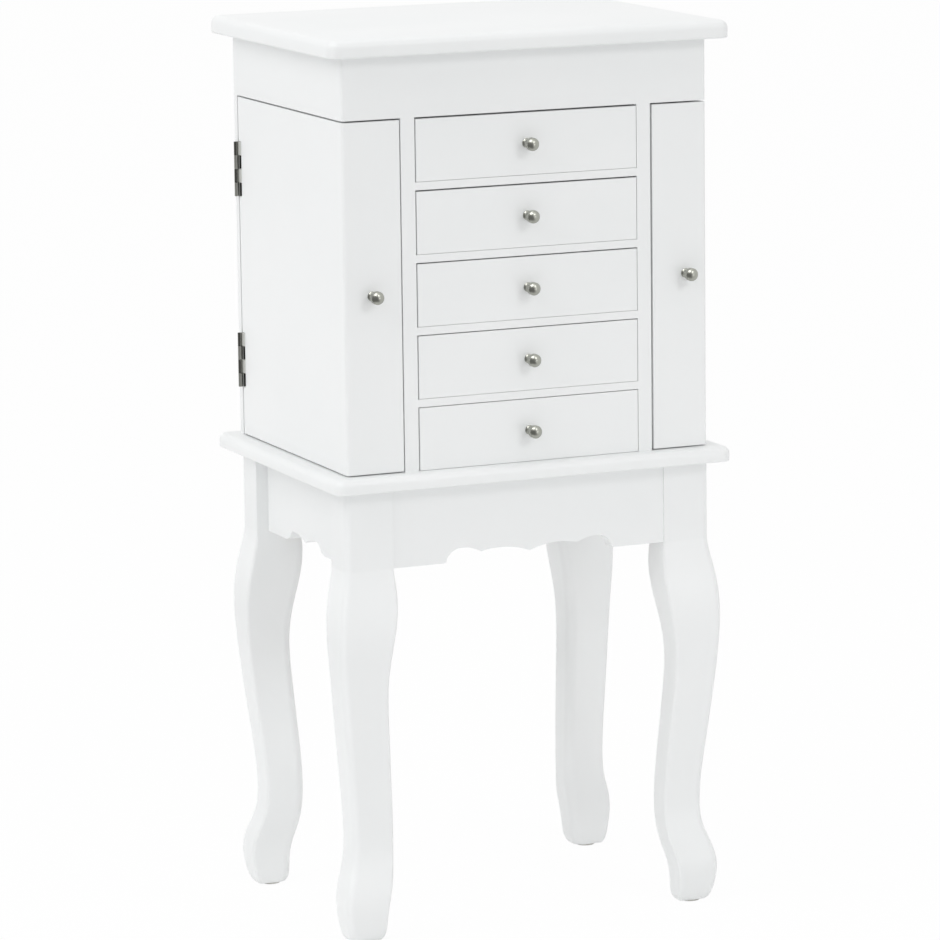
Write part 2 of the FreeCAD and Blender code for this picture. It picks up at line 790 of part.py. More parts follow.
body_leaves = [door_body_leaf(side, middle) for name, side in sides for middle in door_hinge_levels]
nodes["hinge_body_leaves"] = body_leaves + [lid_body_leaf(middle) for middle in lid_hinge_middles]
nodes["lid_hinge_leaves"] = [lid_moving_leaf(middle) for middle in lid_hinge_middles]
nodes["hinge_pins"] = hinge_pins()
nodes["catch_magnets"] = [catch_magnet(side) for name, side in sides]

os.makedirs("parts", exist_ok=True)
for name, solids in nodes.items():
    shape = solids[0] if len(solids) == 1 else Part.makeCompound(solids)
    shape.exportStep("parts/%s.step" % name)
    print(name, len(solids), [round(solid.Volume) for solid in solids][:2], shape.isValid())
print(len(nodes), "nodes")
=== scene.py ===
import json
import math

import bmesh
import bpy
from mathutils import Matrix, Vector


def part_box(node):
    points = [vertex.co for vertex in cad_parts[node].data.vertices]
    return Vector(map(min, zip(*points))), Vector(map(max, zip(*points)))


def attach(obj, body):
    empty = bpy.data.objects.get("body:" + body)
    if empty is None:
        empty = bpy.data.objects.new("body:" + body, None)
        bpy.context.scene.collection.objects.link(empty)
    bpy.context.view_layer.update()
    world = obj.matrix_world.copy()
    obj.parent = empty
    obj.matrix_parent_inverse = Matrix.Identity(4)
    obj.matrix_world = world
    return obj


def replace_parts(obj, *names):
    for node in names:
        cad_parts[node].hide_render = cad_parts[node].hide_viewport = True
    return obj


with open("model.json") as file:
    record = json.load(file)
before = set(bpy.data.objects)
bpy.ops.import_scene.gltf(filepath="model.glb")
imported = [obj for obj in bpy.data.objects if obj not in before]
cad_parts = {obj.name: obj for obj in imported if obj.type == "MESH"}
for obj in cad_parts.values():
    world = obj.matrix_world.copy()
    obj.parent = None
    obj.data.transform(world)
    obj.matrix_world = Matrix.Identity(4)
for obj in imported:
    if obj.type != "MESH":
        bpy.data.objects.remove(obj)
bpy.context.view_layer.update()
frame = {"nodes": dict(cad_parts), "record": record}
nodes = frame["nodes"]
slotOfNode = {part["node"]: part["material_slot"] for part in frame["record"]["subparts"]}
scene = bpy.context.scene
scene.view_settings.view_transform = "Standard"
mm = 0.001  # the frame is in metres
print("frame loaded, CAD nodes:", len(nodes))


def linearColour(hexText):
    channels = [int(hexText[i:i + 2], 16) / 255 for i in (1, 3, 5)]
    linear = [c / 12.92 if c <= 0.04045 else ((c + 0.055) / 1.055) ** 2.4 for c in channels]
    return (*linear, 1.0)


def addNode(tree, kind, settings={}, inputs={}):
    node = tree.nodes.new(kind)
    for name, value in settings.items():
        setattr(node, name, value)
    for socket, value in inputs.items():
        if isinstance(value, bpy.types.NodeSocket):
            tree.links.new(value, node.inputs[socket])
        else:
            node.inputs[socket].default_value = value
    return node


def startMaterial(name):
    material = bpy.data.materials.new(name)
    material.use_nodes = True
    tree = material.node_tree
    tree.nodes.clear()
    place = addNode(tree, "ShaderNodeTexCoord").outputs["Object"]
    return material, tree, place


def finishMaterial(material, tree, inputs):
    shader = addNode(tree, "ShaderNodeBsdfPrincipled", {}, inputs)
    addNode(tree, "ShaderNodeOutputMaterial", {}, {"Surface": shader.outputs["BSDF"]})
    return material


# Sprayed white lacquer on MDF: an even satin white with a faint orange peel and hardly any change of tone.
# The peel is drawn about twice as coarse as it was sprayed
lacquerLook = {"pale": "#F6F7F7", "dull": "#F2F4F4", "cloudMm": 110, "peelMm": 3.0, "peelDepthMm": 0.008,
               "roughness": (0.30, 0.40), "ior": 1.48}


def makeLacquer():
    look = lacquerLook
    material, tree, place = startMaterial("whiteLacquer")
    cloud = addNode(tree, "ShaderNodeTexNoise", {},
                    {"Vector": place, "Scale": 1 / (look["cloudMm"] * mm), "Detail": 3.0})
    tone = addNode(tree, "ShaderNodeMix", {"data_type": "RGBA"},
                   {"Factor": cloud.outputs["Fac"], "A": linearColour(look["pale"]),
                    "B": linearColour(look["dull"])})
    gloss = addNode(tree, "ShaderNodeMapRange", {},
                    {"Value": cloud.outputs["Fac"], "To Min": look["roughness"][0],
                     "To Max": look["roughness"][1]})
    peel = addNode(tree, "ShaderNodeTexNoise", {},
                   {"Vector": place, "Scale": 1 / (look["peelMm"] * mm), "Detail": 1.0})
    bump = addNode(tree, "ShaderNodeBump", {},
                   {"Height": peel.outputs["Fac"], "Distance": look["peelDepthMm"] * mm})
    return finishMaterial(material, tree, {"Base Color": tone.outputs["Result"],
                                           "Roughness": gloss.outputs["Result"],
                                           "Normal": bump.outputs["Normal"], "IOR": look["ior"]})


# Planed bare beech: pale pinkish brown, with short darker flecks along the grain
beechLook = {"pale": "#DDBB93", "dark": "#C39A70", "grainMm": 2.2, "grainDepthMm": 0.05, "grainTurnDeg": 45,
             "stretch": 0.08, "fleckMm": 0.9, "fleckShare": 0.25, "roughness": 0.6}


def makeBeech():
    look = beechLook
    material, tree, place = startMaterial("bareBeech")
    # The four blocks are mirrored, and so is their grain
    folded = addNode(tree, "ShaderNodeVectorMath", {"operation": "ABSOLUTE"}, {0: place})
    along = addNode(tree, "ShaderNodeMapping", {},
                    {"Vector": folded.outputs["Vector"], "Scale": (look["stretch"], 1, 1),
                     "Rotation": (0, 0, math.radians(look["grainTurnDeg"]))})
    grain = addNode(tree, "ShaderNodeTexNoise", {},
                    {"Vector": along.outputs["Vector"], "Scale": 1 / (look["grainMm"] * mm), "Detail": 4.0})
    fleck = addNode(tree, "ShaderNodeTexVoronoi", {},
                    {"Vector": along.outputs["Vector"], "Scale": 1 / (look["fleckMm"] * mm)})
    tone = addNode(tree, "ShaderNodeMix", {"data_type": "RGBA"},
                   {"Factor": grain.outputs["Fac"], "A": linearColour(look["pale"]),
                    "B": linearColour(look["dark"])})
    flecked = addNode(tree, "ShaderNodeMix", {"data_type": "RGBA", "blend_type": "MULTIPLY"},
                      {"Factor": look["fleckShare"], "A": tone.outputs["Result"],
                       "B": fleck.outputs["Distance"]})
    bump = addNode(tree, "ShaderNodeBump", {},
                   {"Height": grain.outputs["Fac"], "Distance": look["grainDepthMm"] * mm})
    return finishMaterial(material, tree, {"Base Color": flecked.outputs["Result"],
                                           "Roughness": look["roughness"],
                                           "Normal": bump.outputs["Normal"]})


# Satin nickel plate on turned brass: warm grey, with lathe rings that stretch the highlights.
# The rings are drawn three times as coarse as they are cut
nickelLook = {"light": "#B2B3AB", "dark": "#9C9D95", "ringMm": 0.7, "ringDepthMm": 0.01, "smudgeMm": 6,
              "roughness": (0.27, 0.35)}


def makeNickel():
    look = nickelLook
    material, tree, place = startMaterial("satinNickel")
    depth = addNode(tree, "ShaderNodeSeparateXYZ", {}, {"Vector": place})
    rings = addNode(tree, "ShaderNodeTexNoise", {"noise_dimensions": "1D"},
                    {"W": depth.outputs["Y"], "Scale": 1 / (look["ringMm"] * mm), "Detail": 2.0})
    smudge = addNode(tree, "ShaderNodeTexNoise", {}, {"Vector": place, "Scale": 1 / (look["smudgeMm"] * mm)})
    tone = addNode(tree, "ShaderNodeMix", {"data_type": "RGBA"},
                   {"Factor": rings.outputs["Fac"], "A": linearColour(look["light"]),
                    "B": linearColour(look["dark"])})
    gloss = addNode(tree, "ShaderNodeMapRange", {},
                    {"Value": smudge.outputs["Fac"], "To Min": look["roughness"][0],
                     "To Max": look["roughness"][1]})
    bump = addNode(tree, "ShaderNodeBump", {},
                   {"Height": rings.outputs["Fac"], "Distance": look["ringDepthMm"] * mm})
    return finishMaterial(material, tree, {"Base Color": tone.outputs["Result"], "Metallic": 1.0,
                                           "Roughness": gloss.outputs["Result"],
                                           "Normal": bump.outputs["Normal"]})


# Zinc-plated steel: a dull light grey with a faint crystal spangle
zincLook = {"light": "#C4C4C0", "dark": "#A6A6A2", "spangleMm": 2.5, "roughness": (0.45, 0.60)}


def makeZinc():
    look = zincLook
    material, tree, place = startMaterial("zincSteel")
    spangle = addNode(tree, "ShaderNodeTexVoronoi", {},
                      {"Vector": place, "Scale": 1 / (look["spangleMm"] * mm)})
    shade = addNode(tree, "ShaderNodeSeparateColor", {}, {"Color": spangle.outputs["Color"]})
    tone = addNode(tree, "ShaderNodeMix", {"data_type": "RGBA"},
                   {"Factor": shade.outputs["Red"], "A": linearColour(look["light"]),
                    "B": linearColour(look["dark"])})
    gloss = addNode(tree, "ShaderNodeMapRange", {},
                    {"Value": shade.outputs["Green"], "To Min": look["roughness"][0],
                     "To Max": look["roughness"][1]})
    return finishMaterial(material, tree, {"Base Color": tone.outputs["Result"], "Metallic": 1.0,
                                           "Roughness": gloss.outputs["Result"]})


# Steel butt hinges: dull pale zinc on the leaves. The knuckles are polished on the doors and duller
# on the body, and their tones are painted shade and reflection: darker on the doors, paler on the body.
# Within the mortise and on the web of the body leaf the steel is painted nearly black, a painted shade
# of the slot. Pairs in mm are where a tone gives way
hingeLook = {"leaf": "#E2E3DF", "grain": "#D3D4CF", "grainMm": 1.2, "grainDepthMm": 0.01,
             "axisMm": (177.45, 120.0), "knuckleMm": (2.0, 2.2), "webMm": (4.0, 7.5), "leafMetal": 0.25,
             "leafRoughness": 0.6, "strapMm": (174.5, 174.8), "innerMm": (119.3, 119.5), "mortiseShade": "#1C1C1B",
             "kinds": {"doorHinge": {"knuckle": "#7C7C78", "roughness": 0.16, "web": "#E2E3DF"},
                       "bodyHinge": {"knuckle": "#BEBEB8", "roughness": 0.42, "web": "#1C1C1B"}}}


def makeHingeSteel(name, kind):
    look = hingeLook
    material, tree, place = startMaterial(name)
    grain = addNode(tree, "ShaderNodeTexNoise", {},
                    {"Vector": place, "Scale": 1 / (look["grainMm"] * mm), "Detail": 3.0})
    leaf = addNode(tree, "ShaderNodeMix", {"data_type": "RGBA"},
                   {"Factor": grain.outputs["Fac"], "A": linearColour(look["leaf"]),
                    "B": linearColour(look["grain"])})
    # One measure for the left and the right hinge line: how far a point lies from the pin, seen from above
    folded = addNode(tree, "ShaderNodeVectorMath", {"operation": "ABSOLUTE"}, {0: place})
    off = addNode(tree, "ShaderNodeVectorMath", {"operation": "SUBTRACT"},
                  {0: folded.outputs["Vector"], 1: (look["axisMm"][0] * mm, look["axisMm"][1] * mm, 0)})
    flat = addNode(tree, "ShaderNodeVectorMath", {"operation": "MULTIPLY"},
                   {0: off.outputs["Vector"], 1: (1, 1, 0)})
    span = addNode(tree, "ShaderNodeVectorMath", {"operation": "LENGTH"}, {0: flat.outputs["Vector"]})
    reach = span.outputs["Value"]
    pastKnuckle = addNode(tree, "ShaderNodeMapRange", {},
                          {"Value": reach, "From Min": look["knuckleMm"][0] * mm,
                           "From Max": look["knuckleMm"][1] * mm})
    pastWeb = addNode(tree, "ShaderNodeMapRange", {},
                      {"Value": reach, "From Min": look["webMm"][0] * mm, "From Max": look["webMm"][1] * mm})
    # Painted shade and reflection: door knuckles darker, body knuckles paler, the body web painted near
    # black
    inner = addNode(tree, "ShaderNodeMix", {"data_type": "RGBA"},
                    {"Factor": pastKnuckle.outputs["Result"], "A": linearColour(kind["knuckle"]),
                     "B": linearColour(kind["web"])})
    tone = addNode(tree, "ShaderNodeMix", {"data_type": "RGBA"},
                   {"Factor": pastWeb.outputs["Result"], "A": inner.outputs["Result"],
                    "B": leaf.outputs["Result"]})
    axes = addNode(tree, "ShaderNodeSeparateXYZ", {}, {"Vector": folded.outputs["Vector"]})
    underStrap = addNode(tree, "ShaderNodeMapRange", {},
                         {"Value": axes.outputs["X"], "From Min": look["strapMm"][0] * mm,
                          "From Max": look["strapMm"][1] * mm, "To Min": 1.0, "To Max": 0.0})
    behindFace = addNode(tree, "ShaderNodeMapRange", {},
                         {"Value": axes.outputs["Y"], "From Min": look["innerMm"][0] * mm,
                          "From Max": look["innerMm"][1] * mm, "To Min": 1.0, "To Max": 0.0})
    # Painted shade of the mortise: steel under the strap and behind the face is painted nearly black
    mortiseShadeMask = addNode(tree, "ShaderNodeMath", {"operation": "MULTIPLY"},
                     {0: underStrap.outputs["Result"], 1: behindFace.outputs["Result"]})
    tone = addNode(tree, "ShaderNodeMix", {"data_type": "RGBA"},
                   {"Factor": mortiseShadeMask.outputs["Value"], "A": tone.outputs["Result"],
                    "B": linearColour(look["mortiseShade"])})
    metal = addNode(tree, "ShaderNodeMapRange", {},
                    {"Value": pastKnuckle.outputs["Result"], "To Min": 1.0, "To Max": look["leafMetal"]})
    gloss = addNode(tree, "ShaderNodeMapRange", {},
                    {"Value": pastKnuckle.outputs["Result"], "To Min": kind["roughness"],
                     "To Max": look["leafRoughness"]})
    bump = addNode(tree, "ShaderNodeBump", {},
                   {"Height": grain.outputs["Fac"], "Distance": look["grainDepthMm"] * mm})
    return finishMaterial(material, tree, {"Base Color": tone.outputs["Result"],
                                           "Metallic": metal.outputs["Result"],
                                           "Roughness": gloss.outputs["Result"],
                                           "Normal": bump.outputs["Normal"]})


# Zinc-plated screws: bright turned heads, and a cross recess painted near black as painted shade
screwFinish = {"bright": "#CFCFCA", "dull": "#B1B1AB", "recess": "#20201F", "scratchMm": 0.4,
               "roughness": 0.38}


def makeScrewSteel():
    look = screwFinish
    material, tree, place = startMaterial("screwSteel")
    scratch = addNode(tree, "ShaderNodeTexNoise", {},
                      {"Vector": place, "Scale": 1 / (look["scratchMm"] * mm)})
    head = addNode(tree, "ShaderNodeMix", {"data_type": "RGBA"},
                   {"Factor": scratch.outputs["Fac"], "A": linearColour(look["bright"]),
                    "B": linearColour(look["dull"])})
    # Painted shade: the faces marked as the cross recess take the near-black tone
    recess = addNode(tree, "ShaderNodeAttribute", {"attribute_name": "recess"})
    tone = addNode(tree, "ShaderNodeMix", {"data_type": "RGBA"},
                   {"Factor": recess.outputs["Fac"], "A": head.outputs["Result"],
                    "B": linearColour(look["recess"])})
    return finishMaterial(material, tree, {"Base Color": tone.outputs["Result"], "Metallic": 1.0,
                                           "Roughness": look["roughness"]})


# Silvered glass: a clear reflection under polished glass, with a trace of green and a faint haze in places
mirrorLook = {"clear": "#EDF1F0", "green": "#E4EAE7", "hazeMm": 60, "roughness": (0.004, 0.02),
              "glassRoughness": 0.01, "glassIor": 1.52}


def makeMirror():
    look = mirrorLook
    material, tree, place = startMaterial("silveredGlass")
    haze = addNode(tree, "ShaderNodeTexNoise", {},
                   {"Vector": place, "Scale": 1 / (look["hazeMm"] * mm), "Detail": 4.0})
    tone = addNode(tree, "ShaderNodeMix", {"data_type": "RGBA"},
                   {"Factor": haze.outputs["Fac"], "A": linearColour(look["clear"]),
                    "B": linearColour(look["green"])})
    gloss = addNode(tree, "ShaderNodeMapRange", {},
                    {"Value": haze.outputs["Fac"], "To Min": look["roughness"][0],
                     "To Max": look["roughness"][1]})
    return finishMaterial(material, tree, {"Base Color": tone.outputs["Result"], "Metallic": 1.0,
                                           "Roughness": gloss.outputs["Result"], "Coat Weight": 1.0,
                                           "Coat Roughness": look["glassRoughness"],
                                           "Coat IOR": look["glassIor"]})


# Short-pile velvet: deep charcoal with a pale bloom where the pile turns, brushed into soft patches.
# The pile is drawn about three times as coarse as it is cut
velvetLook = {"deep": "#3B3638", "brushed": "#575051", "bloom": "#B9AFAE", "napMm": 28, "napBend": 0.8,
              "pileMm": 0.9, "pileDepthMm": 0.25, "pileStrength": 0.7, "pileShare": 0.35, "roughness": 0.92,
              "specular": 0.2, "sheen": 0.55, "sheenRoughness": 0.4}


def makeVelvet():
    look = velvetLook
    material, tree, place = startMaterial("charcoalVelvet")
    nap = addNode(tree, "ShaderNodeTexNoise", {},
                  {"Vector": place, "Scale": 1 / (look["napMm"] * mm), "Detail": 3.0,
                   "Distortion": look["napBend"]})
    pile = addNode(tree, "ShaderNodeTexNoise", {},
                   {"Vector": place, "Scale": 1 / (look["pileMm"] * mm), "Detail": 2.0})
    brushed = addNode(tree, "ShaderNodeMix", {"data_type": "RGBA"},
                      {"Factor": nap.outputs["Fac"], "A": linearColour(look["deep"]),
                       "B": linearColour(look["brushed"])})
    tone = addNode(tree, "ShaderNodeMix", {"data_type": "RGBA", "blend_type": "OVERLAY"},
                   {"Factor": look["pileShare"], "A": brushed.outputs["Result"], "B": pile.outputs["Fac"]})
    bump = addNode(tree, "ShaderNodeBump", {},
                   {"Height": pile.outputs["Fac"], "Distance": look["pileDepthMm"] * mm,
                    "Strength": look["pileStrength"]})
    return finishMaterial(material, tree, {"Base Color": tone.outputs["Result"],
                                           "Roughness": look["roughness"],
                                           "Specular IOR Level": look["specular"],
                                           "Sheen Weight": look["sheen"],
                                           "Sheen Roughness": look["sheenRoughness"],
                                           "Sheen Tint": linearColour(look["bloom"]),
                                           "Normal": bump.outputs["Normal"]})


# Injection-moulded plastics: a fine spark texture and a slightly uneven sheen
plasticLooks = {"catch_plastic": {"name": "mouldedAbs", "pale": "#E6E4DE", "dull": "#DCDAD3", "sparkMm": 0.6,
                                  "sparkDepthMm": 0.02, "roughness": (0.38, 0.52)},
                "nylon": {"name": "naturalNylon", "pale": "#DEDDD7", "dull": "#CFCEC8", "sparkMm": 0.9,
                          "sparkDepthMm": 0.02, "roughness": (0.45, 0.6)}}


def makePlastic(look):
    material, tree, place = startMaterial(look["name"])
    spark = addNode(tree, "ShaderNodeTexNoise", {},
                    {"Vector": place, "Scale": 1 / (look["sparkMm"] * mm), "Detail": 3.0})
    tone = addNode(tree, "ShaderNodeMix", {"data_type": "RGBA"},
                   {"Factor": spark.outputs["Fac"], "A": linearColour(look["pale"]),
                    "B": linearColour(look["dull"])})
    gloss = addNode(tree, "ShaderNodeMapRange", {},
                    {"Value": spark.outputs["Fac"], "To Min": look["roughness"][0],
                     "To Max": look["roughness"][1]})
    bump = addNode(tree, "ShaderNodeBump", {},
                   {"Height": spark.outputs["Fac"], "Distance": look["sparkDepthMm"] * mm})
    return finishMaterial(material, tree, {"Base Color": tone.outputs["Result"],
                                           "Roughness": gloss.outputs["Result"],
                                           "Normal": bump.outputs["Normal"]})


finishes = {"white_board": makeLacquer(), "bare_beech": makeBeech(), "nickel": makeNickel(),
            "bright_steel": makeZinc(), "mirror": makeMirror(), "velvet": makeVelvet()}
for slotName, look in plasticLooks.items():
    finishes[slotName] = makePlastic(look)
for nodeName, node in nodes.items():
    node.data.materials.clear()
    node.data.materials.append(finishes[slotOfNode[nodeName]])
hingeNodes = {"hinge_body_leaves": "bodyHinge", "door_left_hinge_leaves": "doorHinge",
              "door_right_hinge_leaves": "doorHinge"}
hingeFinishes = {name: makeHingeSteel(name, kind) for name, kind in hingeLook["kinds"].items()}
for nodeName, hinge in hingeNodes.items():
    nodes[nodeName].data.materials[0] = hingeFinishes[hinge]
print("finishes given:", len(finishes) + len(hingeFinishes))


def newPiece(name, builder, finish, body, sharpDeg=40):
    mesh = bpy.data.meshes.new(name)
    builder.to_mesh(mesh)
    builder.free()
    mesh.shade_smooth()
    mesh.set_sharp_from_angle(angle=math.radians(sharpDeg))
    mesh.materials.append(finishes[finish])
    piece = bpy.data.objects.new(name, mesh)
    scene.collection.objects.link(piece)
    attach(piece, body)
    return piece


def roundedBlock(low, high, radius, segments=3):
    block = bmesh.new()
    bmesh.ops.create_cube(block, size=1.0)
    bmesh.ops.scale(block, vec=high - low, verts=block.verts)
    bmesh.ops.translate(block, vec=(low + high) / 2, verts=block.verts)
    bmesh.ops.bevel(block, geom=block.edges[:], offset=radius, affect="EDGES", segments=segments,
                    profile=0.5, material=-1)
    return block


def applyModifiers(piece):
    graph = bpy.context.evaluated_depsgraph_get()
    mesh = bpy.data.meshes.new_from_object(piece.evaluated_get(graph))
    piece.modifiers.clear()
    piece.data = mesh


def puffUp(piece, look, low, high):
    # Foam under the cloth: the pad swells from its seat and stays within its bay
    remesh = piece.modifiers.new("voxels", "REMESH")
    remesh.mode = "VOXEL"
    voxel = look["voxelMm"] * mm
    remesh.voxel_size = voxel
    applyModifiers(piece)
    start = [vertex.co.copy() for vertex in piece.data.vertices]
    seat = piece.vertex_groups.new(name="seat")
    seat.add([i for i, co in enumerate(start) if co.z < low.z + voxel], 1.0, "REPLACE")
    cloth = piece.modifiers.new("cloth", "CLOTH")
    cloth.settings.vertex_group_mass = "seat"
    cloth.settings.use_pressure = True
    cloth.settings.uniform_pressure_force = look["pressure"]
    cloth.settings.effector_weights.gravity = 0
    for frameNumber in range(1, look["frames"] + 1):
        scene.frame_set(frameNumber)
    applyModifiers(piece)
    scene.frame_set(1)
    cap = look["capMm"] * mm
    noMove = 1e-9  # keeps the share finite where nothing moved
    for vertex, origin in zip(piece.data.vertices, start):
        move = vertex.co - origin
        place = origin + move * min(1, cap / max(move.length, noMove))
        vertex.co = Vector(max(low[i], min(high[i], place[i])) for i in range(3))
    moves = [(vertex.co - origin).length / mm for vertex, origin in zip(piece.data.vertices, start)]
    print("puffed", piece.name, "largest move in mm", round(max(moves), 2))
    piece.data.shade_smooth()


def softFinish(piece):
    subdivision = piece.modifiers.new("subdivision", "SUBSURF")
    subdivision.levels = 1
    subdivision.render_levels = 1


# Ring rolls in the left half of the tray: velvet over foam, pressed side by side
rollLook = {"count": 14, "gapMm": 0.3, "startMm": 0.9, "edgeMm": 1.5, "crownMm": 6.5, "crownSegments": 5,
            "crownBandMm": 2.6, "longEdgeMm": 20, "voxelMm": 3.0, "pressure": 4.0, "frames": 20,
            "capMm": 1.6, "fill": 0.9}


def makeRingRolls():
    look = rollLook
    low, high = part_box("ring_cushions")
    pitch = (high.y - low.y + look["gapMm"] * mm) / look["count"]
    first = Vector((high.x, low.y + pitch - look["gapMm"] * mm, high.z))
    shrink = Vector((1, 1, 0)) * look["startMm"] * mm
    roll = roundedBlock(low + shrink, first - shrink - Vector((0, 0, 1)) * look["startMm"] * mm,
                        look["edgeMm"] * mm)
    band = first.z - look["crownBandMm"] * mm
    crown = [edge for edge in roll.edges if min(v.co.z for v in edge.verts) > band
             and abs((edge.verts[0].co - edge.verts[1].co).x) > look["longEdgeMm"] * mm]
    bmesh.ops.bevel(roll, geom=crown, offset=look["crownMm"] * mm, affect="EDGES",
                    segments=look["crownSegments"], profile=0.5, material=-1, clamp_overlap=True)
    sample = newPiece("ringRolls", roll, "velvet", "cabinet")
    puffUp(sample, look, low, first)
    rolls = bmesh.new()
    for index in range(look["count"]):
        made = len(rolls.verts)
        rolls.from_mesh(sample.data)
        rolls.verts.ensure_lookup_table()
        bmesh.ops.translate(rolls, vec=(0, index * pitch, 0), verts=rolls.verts[made:])
    rolls.to_mesh(sample.data)
    rolls.free()
    sample.data.shade_smooth()
    softFinish(sample)
    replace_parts(sample, "ring_cushions")


makeRingRolls()
print("ring rolls made")

# Lining pads: velvet over thin foam on the floor of each drawer and of the right half of the tray
padLook = {"drawers": 5, "wallMm": 8.0, "floorMm": 3.0, "clearMm": 0.4, "thickMm": 5.0, "startMm": 1.0,
           "edgeMm": 1.2, "voxelMm": 2.4, "pressure": 4.0, "frames": 20, "capMm": 1.8, "fill": 0.5}


def makePad(name, low, high, body):
    look = padLook
    shrink = Vector((1, 1, 0)) * look["startMm"] * mm
    block = roundedBlock(low + shrink, high - shrink - Vector((0, 0, 1)) * look["startMm"] * mm,
                         look["edgeMm"] * mm)
    pad = newPiece(name, block, "velvet", body)
    puffUp(pad, look, low, high)
    return pad


def makeLiningPads():
    look = padLook
    clear = look["clearMm"] * mm
    wall = look["wallMm"] * mm
    thick = Vector((0, 0, look["thickMm"] * mm))
    low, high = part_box("drawer_1_box")
    floor = low.z + look["floorMm"] * mm
    padLow = Vector((low.x + wall + clear, low.y + clear, floor))
    padHigh = Vector((high.x - wall - clear, high.y - wall - clear, floor)) + thick
    first = makePad("drawerPad1", padLow, padHigh, "drawer_1")
    for number in range(2, look["drawers"] + 1):
        pad = bpy.data.objects.new("drawerPad%d" % number, first.data.copy())
        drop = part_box("drawer_%d_box" % number)[0].z - low.z
        pad.data.transform(Matrix.Translation((0, 0, drop)))
        scene.collection.objects.link(pad)
        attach(pad, "drawer_%d" % number)
        softFinish(pad)
    softFinish(first)
    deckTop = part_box("tray_deck")[1].z
    trayLow = Vector((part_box("tray_divider")[1].x + clear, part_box("frieze_front")[1].y + clear, deckTop))
    trayHigh = Vector((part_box("frieze_right")[0].x - clear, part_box("back_panel")[0].y - clear, deckTop))
    softFinish(makePad("trayPad", trayLow, trayHigh + thick, "cabinet"))


makeLiningPads()
print("lining pads made")

# Velvet-covered cards glued inside the doors, behind the necklaces
cardLook = {"thickMm": 1.6, "marginMm": 3.0, "radiusMm": 0.7}


def makeDoorCards():
    look = cardLook
    margin = look["marginMm"] * mm
    thick = look["thickMm"] * mm
    for name, side in (("left", -1), ("right", 1)):
        door = "door_" + name
        panelLow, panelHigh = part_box(door + "_side_panel")
        inner = panelHigh.x if side < 0 else panelLow.x
        faces = sorted((inner, inner - side * thick))
        low = Vector((faces[0], panelLow.y + margin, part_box(door + "_floor")[1].z + margin))
        high = Vector((faces[1], panelHigh.y - margin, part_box(door + "_hook_rail")[0].z - margin))
        newPiece("doorCard_" + name, roundedBlock(low, high, look["radiusMm"] * mm, segments=2),
                 "velvet", door)


makeDoorCards()
print("door cards made")

# Countersunk screws in the hinge leaves and strike plates: flat heads a hair proud, with a cross recess that
# ends just above the leaf. Between closed door leaves there is room only for the thinner heads
screwLook = {"radiusMm": 2.1, "rimMm": 0.2, "sunkMm": 0.3, "armMm": (1.3, 0.26), "armTurnDeg": 20,
             "floorMm": 0.015, "sides": 24, "thinMm": 0.06, "plainMm": 0.10, "apartMm": 16.0,
             "leafMidMm": 169.0, "hingeRiseMm": (492.45, 667.85), "bodyLeafMm": 0.9, "doorLeafMm": 1.1,
             "lidMidMm": 100.0, "lidLeafMm": 0.9, "lidBodyRiseMm": 779.6, "lidBackMm": 139.0,
             "strikeApartMm": 8.0}


def makeScrews(name, spots, out, proud, body):
    look = screwLook
    heads = bmesh.new()
    recess = heads.faces.layers.float.new("recess")
    turn = Vector((0, 0, 1)).rotation_difference(Vector(out)).to_matrix().to_4x4()
    circle = [Matrix.Rotation(math.tau * i / look["sides"], 3, "Z") @ Vector((1, 0, 0))
              for i in range(look["sides"])]
    arm, width = (size * mm for size in look["armMm"])
    corners = [Vector(corner) for corner in ((arm, -width, 0), (arm, width, 0), (width, width, 0))]
    cross = [Matrix.Rotation(math.radians(look["armTurnDeg"] + quarter), 3, "Z") @ corner
             for quarter in (0, 90, 180, 270) for corner in corners]
    radius = look["radiusMm"] * mm
    outlines = ((circle, radius, -look["sunkMm"] * mm), (circle, radius - look["rimMm"] * mm, proud),
                (cross, 1, proud), (cross, 1, look["floorMm"] * mm))
    for spot in spots:
        place = Matrix.Translation(spot) @ turn
        under, rim, mouth, floor = (
            [heads.verts.new(place @ (point * size + Vector((0, 0, rise)))) for point in points]
            for points, size, rise in outlines)
        heads.faces.new(under[::-1])
        hollow = [heads.faces.new(floor)]
        for first, second in ((under, rim), (mouth, floor)):
            for i in range(len(first)):
                wall = heads.faces.new((first[i - 1], first[i], second[i], second[i - 1]))
                if first is mouth:
                    hollow.append(wall)
        # The cross recess faces are marked for the painted recess shade
        for face in hollow:
            face[recess] = 1.0
        loops = [heads.edges.get((loop[i - 1], loop[i])) for loop in (rim, mouth) for i in range(len(loop))]
        bmesh.ops.triangle_fill(heads, use_beauty=True, edges=loops, normal=out)
    bmesh.ops.recalc_face_normals(heads, faces=heads.faces)
    piece = newPiece(name, heads, "bright_steel", body)
    piece.data.materials[0] = screwSteel


